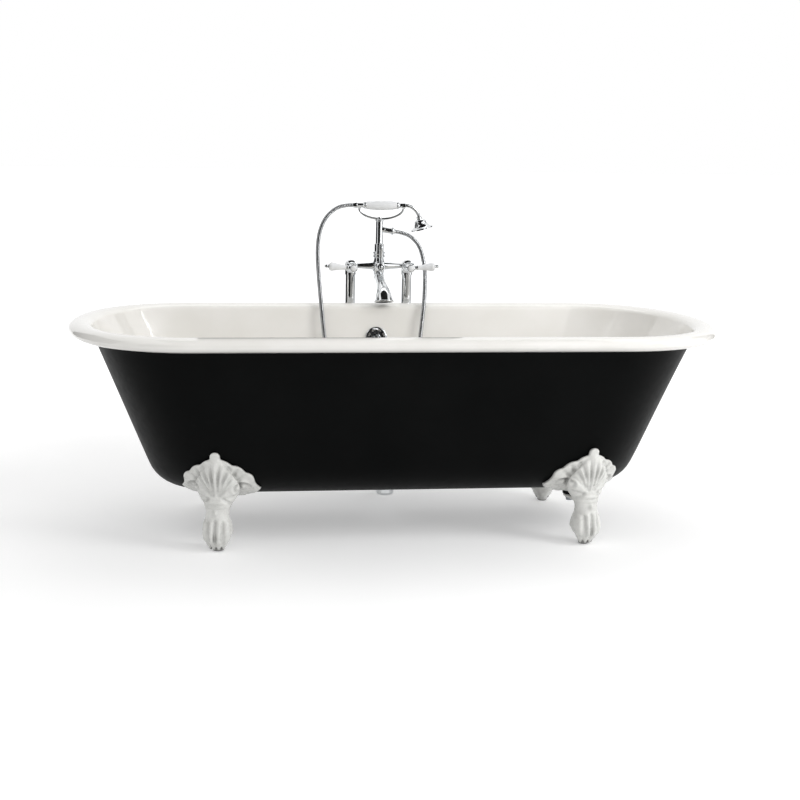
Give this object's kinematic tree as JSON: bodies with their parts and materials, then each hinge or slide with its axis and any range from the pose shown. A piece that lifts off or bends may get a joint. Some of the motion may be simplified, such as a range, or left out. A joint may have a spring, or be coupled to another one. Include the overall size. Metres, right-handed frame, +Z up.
{
  "type": "clawfoot bathtub",
  "caption": "Freestanding double-ended bath on cast claw feet, with a telephone-style mixer on standpipes behind it, lever taps, hand shower in a cradle and a metal hose.",
  "frame": {"origin": "on the floor, at the middle of the footprint of the tub and its standpipes", "axes": "+X along the tub's length to the right of someone facing its front, +Y towards the mixer behind the tub, +Z up"},
  "size_m": [1.83, 0.8915, 0.9115],
  "materials": {
    "enamelled_cast_iron": "white vitreous enamel inside and on the rim, satin black paint outside",
    "painted_cast_iron": "gloss white paint",
    "chrome": "polished chrome plate on brass",
    "brass": "plain turned or cast brass",
    "porcelain": "glossy white glaze",
    "galvanised_steel": "zinc plated",
    "rubber": "matt black",
    "plastic": "dark moulded plastic"
  },
  "bodies": {
    "tub_and_stand": {"tub_shell": "enamelled_cast_iron", "claw_foot_front_left": "painted_cast_iron", "claw_foot_front_right": "painted_cast_iron", "claw_foot_rear_left": "painted_cast_iron", "claw_foot_rear_right": "painted_cast_iron", "foot_bolts": "galvanised_steel", "waste_flange": "chrome", "gaskets": "rubber", "waste_nut": "brass", "waste_body": "brass", "plug_cartridge": "brass", "overflow_plate": "chrome", "overflow_screw": "chrome", "overflow_elbow": "brass", "overflow_pipe": "chrome", "pipe_nuts": "brass", "waste_tee": "brass", "waste_pipe": "chrome", "drain_tail": "chrome", "left_standpipe": "chrome", "right_standpipe": "chrome", "supply_pipes": "brass", "left_floor_flange": "chrome", "right_floor_flange": "chrome", "mixer_body": "chrome", "left_valve_cover": "chrome", "right_valve_cover": "chrome", "left_cartridge": "brass", "right_cartridge": "brass", "spout": "chrome", "spout_insert": "plastic", "diverter_bonnet": "chrome", "riser_collar": "chrome", "riser_column": "chrome", "hose_outlet": "chrome", "mixer_hose_nut": "chrome", "cradle": "chrome", "shower_hose": "chrome"},
    "left_valve": {"left_spindle": "brass", "left_lever_hub": "chrome", "left_lever_porcelain": "porcelain", "left_lever_tip": "chrome", "left_index_button": "porcelain"},
    "right_valve": {"right_spindle": "brass", "right_lever_hub": "chrome", "right_lever_porcelain": "porcelain", "right_lever_tip": "chrome", "right_index_button": "porcelain"},
    "diverter": {"diverter_spindle": "brass", "diverter_lever": "chrome", "diverter_button": "chrome"},
    "handset": {"handset_tail": "chrome", "handset_hose_nut": "chrome", "porcelain_grip": "porcelain", "handset_neck": "chrome", "shower_bell": "chrome", "spray_plate": "chrome"},
    "plug": {"plug_stem": "brass", "plug_dome": "chrome", "plug_seal": "rubber"}
  },
  "joints": [
    {"name": "left_lever_turn", "type": "hinge", "parent": "tub_and_stand", "child": "left_valve", "pos_m": [-0.077, 0.332, 0.708], "axis": [0, 1, 0], "range_deg": [0, 90]},
    {"name": "right_lever_turn", "type": "hinge", "parent": "tub_and_stand", "child": "right_valve", "pos_m": [0.101, 0.332, 0.708], "axis": [0, -1, 0], "range_deg": [0, 90]},
    {"name": "diverter_turn", "type": "hinge", "parent": "tub_and_stand", "child": "diverter", "pos_m": [0.012, 0.363, 0.708], "axis": [0, -1, 0], "range_deg": [0, 90]},
    {"name": "handset_lift", "type": "slide", "parent": "tub_and_stand", "child": "handset", "axis": [0, 0, 1], "range_m": [0, 0.12]},
    {"name": "plug_lift", "type": "slide", "parent": "tub_and_stand", "child": "plug", "axis": [0, 0, 1], "range_m": [0, 0.008]}
  ]
}
